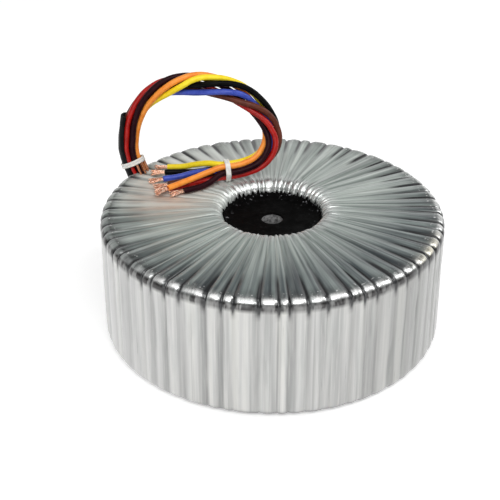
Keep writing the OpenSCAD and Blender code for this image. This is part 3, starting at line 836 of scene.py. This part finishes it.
def bush_material():
    bush = Surface("bush_metal", (0.33, 0.33, 0.33), 0.55, {"Metallic": 0.35})
    bush.mottle(700, 5, [
        (0.36, (0.10, 0.10, 0.10)), (0.5, (0.30, 0.30, 0.30)), (0.64, (0.46, 0.46, 0.46))], rough=0.65)
    bush.vary_gloss(1200, 3, 0.4, 0.75)
    bush.grain(2200, 4, 0.4, 0.0003)
    return bush.material


# ---------------------------------------------------------------- exit sleeve
SLEEVE_R = ROPE_R + LEAD_D / 2 + SLEEVE_GAP
# at the seven points along the sleeve: where its wall starts and ends round the leads, in degrees from
# their outward side, and how far it leans out, in mm
SLEEVE_FROM = [-105, -99, -93, -87, -81, -75, -70]
SLEEVE_TO = [80, 76, 72, 68, 64, 60, 55]
SLEEVE_LEAN = [0, 0, 0, 0.2, 0.5, 0.9, 1.5]
SLEEVE_SPINE = [SPINE[k] for k in range(6)] + [SPINE[5] + (SPINE[6] - SPINE[5]) * 0.6]
SLEEVE_STEPS, SLEEVE_COLUMNS = 40, 28
SLEEVE_CREASE = 0.18


def sleeve_material():
    sleeve = Surface("sleeve_black", (0.008, 0.008, 0.008), 0.42, {"Specular IOR Level": 0.06})
    sleeve.mottle(300, 4, [(0.35, (0.002, 0.002, 0.002)), (0.7, (0.008, 0.008, 0.009))])
    sleeve.vary_gloss(500, 3, 0.3, 0.5)
    sleeve.grain(1500, 3, 0.25, 0.0002)
    return sleeve.material


def sleeve_at(s):
    """The middle, the outward and near sides and the two edges' angles at s points along the sleeve."""
    k = min(int(s), 5)
    part = s - k

    def between(values):
        return values[k] + (values[k + 1] - values[k]) * part

    outs, nears = zip(*(spine_frame(min(i, 5)) for i in range(7)))
    out, near = unit(between(outs)), unit(between(nears))
    middle = between(SLEEVE_SPINE) + between(SLEEVE_LEAN) * out
    return middle, out, near, between(SLEEVE_FROM), between(SLEEVE_TO)


def sleeve_mesh():
    inside, outside = [], []
    for step in range(SLEEVE_STEPS):
        s = (len(SLEEVE_SPINE) - 1) * step / (SLEEVE_STEPS - 1)
        middle, out, near, first, last = sleeve_at(s)
        loose = rise(s, 1.5, 5.0)
        for column in range(SLEEVE_COLUMNS):
            v = column / (SLEEVE_COLUMNS - 1)
            angle = math.radians(first + (last - first) * v)
            crease = SLEEVE_CREASE * loose * (math.sin(9 * v + 1.3 * s) + 0.5 * math.sin(23 * v + 2.1 * s))
            outward = math.cos(angle) * out + math.sin(angle) * near
            inside.append(middle + (SLEEVE_R + crease) * outward)
            outside.append(middle + (SLEEVE_R + SLEEVE_T + crease) * outward)

    faces = []
    out_by = len(inside)
    columns = SLEEVE_COLUMNS

    def wall(a, b, flip):
        """A face of the cut edge, between two neighbours of the inside and of the outside."""
        face = (a, out_by + a, out_by + b, b)
        faces.append(face[::-1] if flip else face)

    for step in range(SLEEVE_STEPS - 1):
        for a in range(step * columns, (step + 1) * columns - 1):
            faces.append((a, a + columns, a + columns + 1, a + 1))
            faces.append((out_by + a, out_by + a + 1, out_by + a + columns + 1, out_by + a + columns))
        wall(step * columns, (step + 1) * columns, False)
        wall((step + 1) * columns - 1, (step + 2) * columns - 1, True)
    for first, flip in ((0, True), ((SLEEVE_STEPS - 1) * columns, False)):
        for a in range(first, first + columns - 1):
            wall(a, a + 1, flip)
    return inside + outside, faces


sleeve = mesh_object("sleeve", *sleeve_mesh(), sleeve_material())
shade_smooth(sleeve)
round_edges(sleeve, 0.15, 50)
stand_for(sleeve, "exit_sleeve")


# ---------------------------------------------------------------- cable ties
def tie_material():
    nylon = Surface("tie_nylon", (0.80, 0.79, 0.76), 0.42, {
        "Specular IOR Level": 0.5, "Subsurface Weight": 0.35, "Subsurface Radius": (0.0015, 0.0012, 0.0010)})
    nylon.mottle(350, 3, [(0.3, (0.66, 0.64, 0.60)), (0.65, (0.84, 0.83, 0.80))])
    nylon.grain(1800, 2, 0.15, 0.0001)
    return nylon.material


def ring_outline(radius, count=48):
    """Points on a circle, each with its outward direction."""
    outwards = [around(2 * math.pi * k / count) for k in range(count)]
    return [(radius * outward, outward) for outward in outwards]


def convex_outline(corners, radius, steps=6):
    """Points at a distance round a convex row of corners, each with its outward direction."""
    outline = []
    for i, corner in enumerate(corners):
        before = np.array(corner) - np.array(corners[i - 1])
        after = np.array(corners[(i + 1) % len(corners)]) - np.array(corner)
        start = math.atan2(-before[0], before[1])
        sweep = (math.atan2(-after[0], after[1]) - start) % (2 * math.pi)
        for k in range(steps + 1):
            outward = around(start + sweep * k / steps)
            outline.append((np.array(corner) + radius * outward, outward))
    return outline


# the band's cross-section, ribbed on the outside: shares of its thickness and of its width
BAND = [(0.0, -0.5), (0.0, 0.5), (0.75, 0.5), (1.0, 0.40), (1.0, 0.16), (0.84, 0.10), (0.84, -0.10),
        (1.0, -0.16), (1.0, -0.40), (0.75, -0.5)]
HEAD_HALF, HEAD_H = (TIE_W + 1) / 2, 1.9
CHEEK_FROM, CHEEK_H = 1.7, 2.35     # the head's two raised sides
STUB_FROM, STUB_H = 1.5, 2.4        # the tail's cut end between them
BOX_FACES = ((0, 3, 2, 1), (4, 5, 6, 7), (0, 1, 5, 4), (1, 2, 6, 5), (2, 3, 7, 6), (3, 0, 4, 7))


def cable_tie(name, middle, along, outline, head_at, head_out, node_name, material):
    """A ribbed nylon band on a closed outline, with its head and the trimmed end of its tail."""
    out, near = frame_of(along)
    verts, faces = [], []

    def place(point, z):
        verts.append(middle + point[0] * out + point[1] * near + z * along)

    for point, outward in outline:
        for height, across in BAND:
            place(point + outward * TIE_T * height, across * TIE_W)
    for i in range(len(outline)):
        here, there = i * len(BAND), (i + 1) % len(outline) * len(BAND)
        for j in range(len(BAND)):
            k = (j + 1) % len(BAND)
            faces.append((here + j, here + k, there + k, there + j))

    head_side = np.array([-head_out[1], head_out[0]])

    def box(aside, half_side, half_along, low, high, taper):
        """A box on the head with drafted sides, from low to high above the band."""
        base = len(verts)
        for level, size in ((low, 1.0), (high, taper)):
            for side, end in ((-1, -1), (1, -1), (1, 1), (-1, 1)):
                place(head_at + head_out * level + head_side * (aside + side * half_side * size),
                      end * half_along * size)
        faces.extend(tuple(base + corner for corner in face) for face in BOX_FACES)

    box(0, HEAD_HALF, HEAD_HALF, 0, HEAD_H, 0.9)
    for cheek in (-1, 1):
        box(cheek * HEAD_HALF * 0.72, HEAD_HALF * 0.22, HEAD_HALF * 0.86, CHEEK_FROM, CHEEK_H, 0.95)
    box(0, 0.35, TIE_W * 0.36, STUB_FROM, STUB_H, 0.95)
    tie = mesh_object(name, verts, faces, material)
    shade_smooth(tie)
    round_edges(tie, 0.12, 40)
    stand_for(tie, node_name)


nylon_look = tie_material()
exit_inside = SLEEVE_R + SLEEVE_T + TIE_GAP
exit_head = around(math.radians(300))       # the way its head points, from the leads' outward side
cable_tie("tie_exit", on_exit(TIE_OUT), EXIT_AXIS, ring_outline(exit_inside),
          (exit_inside + TIE_T / 2) * exit_head, exit_head, "exit_tie", nylon_look)
hold = LEAD_D / 2 + LEAD_GAP / 2            # from a lead's middle to the tie
outer_leads = ("brown", "red", "violet", "orange", "yellow", "black")
held = [lead_place(LEADS.index(color), LAST) for color in outer_leads]
cable_tie("tie_bundle", (SPINE[LAST - 1] + SPINE[LAST]) / 2, unit(SPINE[LAST] - SPINE[LAST - 1]),
          convex_outline(held, hold), np.array([0, -ROPE_R - hold - TIE_T / 2]), np.array([0, -1]),
          "bundle_tie", nylon_look)


# ---------------------------------------------------------------- the CAD nodes that stay
def enamel_material():
    enamel = Surface("enamel_secondary", (0.42, 0.14, 0.05), 0.22,
                     {"Metallic": 0.55, "Coat Weight": 0.8, "Coat Roughness": 0.08})
    enamel.mottle(420, 3, [(0.3, (0.28, 0.085, 0.03)), (0.7, (0.60, 0.24, 0.10))])
    enamel.grain(900, 2, 0.15, 0.0002)
    return enamel.material


def layer_material(node_name, dark, light, rough, metallic):
    """The look of a layer inside, streaked up and down."""
    layer = Surface("layer_" + node_name, light, rough, {"Metallic": metallic})
    streaks = layer.noise(layer.stretched(layer.place, (300, 300, 30)), 1.0, 4)
    layer.drive("Base Color", layer.ramp(streaks, [(0.3, dark), (0.7, light)]))
    layer.grain(1200, 3, 0.3, 0.0003)
    return layer.material


insulation = layer_material("core_band_inner", (0.42, 0.31, 0.19), (0.56, 0.43, 0.28), 0.75, 0)
kept_looks = {
    "core": layer_material("core", (0.20, 0.20, 0.21), (0.42, 0.42, 0.44), 0.42, 0.9),
    "core_band_inner": insulation,
    "core_band_outer": insulation,
    "core_ring_top": insulation,
    "core_ring_bottom": insulation,
    "interwinding_tape": layer_material("interwinding_tape", (0.60, 0.52, 0.26), (0.74, 0.66, 0.38), 0.4, 0),
    "primary_winding": layer_material("primary_winding", (0.40, 0.15, 0.06), (0.60, 0.26, 0.11), 0.3, 0.4),
    "secondary_winding": layer_material("secondary_winding", (0.36, 0.12, 0.045), (0.55, 0.22, 0.09),
                                        0.3, 0.4),
    "centre_bush": bush_material(),
    "winding_tails": enamel_material()}
for name, look in kept_looks.items():
    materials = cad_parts[name].data.materials
    if len(materials) == 0:
        materials.append(look)
    for slot in range(len(materials)):
        materials[slot] = look

# ---------------------------------------------------------------- floor, lamps and world
FILL = 0.42                         # the world's strength on the object, and the glow that the floor shows
FLOOR_HALF, FLOOR_Z = 8, -0.0002    # metres
LAMPS_AIM = (0, 0, 0.04)


def floor_material():
    material = bpy.data.materials.new("floor")
    material.use_nodes = True
    nodes = Nodes(material.node_tree)
    nodes.tree.nodes.clear()
    paint, glow = nodes.add("ShaderNodeBsdfDiffuse"), nodes.add("ShaderNodeEmission")
    paint.inputs["Color"].default_value = (0.86, 0.86, 0.86, 1)
    glow.inputs["Color"].default_value = (1, 1, 1, 1)
    _, seen = nodes.seen_directly()
    nodes.feed(glow.inputs["Strength"], nodes.times(seen, FILL))
    both = nodes.add("ShaderNodeAddShader")
    nodes.feed(both.inputs[0], paint.outputs[0])
    nodes.feed(both.inputs[1], glow.outputs[0])
    nodes.feed(nodes.add("ShaderNodeOutputMaterial").inputs["Surface"], both.outputs[0])
    return material


def softbox(name, at, size, power):
    data = bpy.data.lights.new(name, "AREA")
    data.shape = "RECTANGLE"
    data.size, data.size_y = size
    data.energy = power
    point_along(link_to_scene(name, data), at, Vector(LAMPS_AIM) - Vector(at))


def make_world():
    """White to the camera, even light on the object, and a studio in its gloss."""
    world = bpy.data.worlds.new("world")
    world.use_nodes = True
    nodes = Nodes(world.node_tree)
    path, seen = nodes.seen_directly()
    sides = nodes.add("ShaderNodeSeparateXYZ")
    nodes.feed(sides.inputs[0], nodes.add("ShaderNodeTexCoord").outputs["Generated"])
    high, front = sides.outputs["Z"], nodes.times(sides.outputs["Y"], -1.0)
    # a pale backdrop low down and behind, and a long softbox high up over the front edge
    backdrop = nodes.times(nodes.map_range(high, 0.42, 0.62, 0.85, 0.08),
                           nodes.map_range(front, -0.2, 0.35, 1.0, 0.10))
    overhead = nodes.times(nodes.map_range(high, 0.42, 0.84, 0.0, 1.0),
                           nodes.map_range(front, -0.55, 0.12, 0.0, 1.0))
    studio = nodes.combine("ADD", backdrop, nodes.times(overhead, 1.35))
    mirrored = nodes.mix_numbers(path.outputs["Is Glossy Ray"], 1.0, studio)
    back = nodes.tree.nodes["Background"]
    nodes.feed(back.inputs["Strength"], nodes.mix_numbers(seen, FILL, mirrored))
    back.inputs["Color"].default_value = (1, 1, 1, 1)
    return world


corners = [(x * FLOOR_HALF, y * FLOOR_HALF, FLOOR_Z) for x, y in ((-1, -1), (1, -1), (1, 1), (-1, 1))]
floor = mesh_object("floor", corners, [(0, 1, 2, 3)], floor_material(), 1.0)
softbox("key", (0.05, -0.85, 1.15), (1.1, 0.45), 9)
softbox("side", (1.0, 0.10, 0.75), (0.35, 0.7), 4)
softbox("front", (-0.3, -1.4, 0.35), (1.2, 0.5), 4)
scene.world = make_world()
scene.view_settings.view_transform = "Standard"
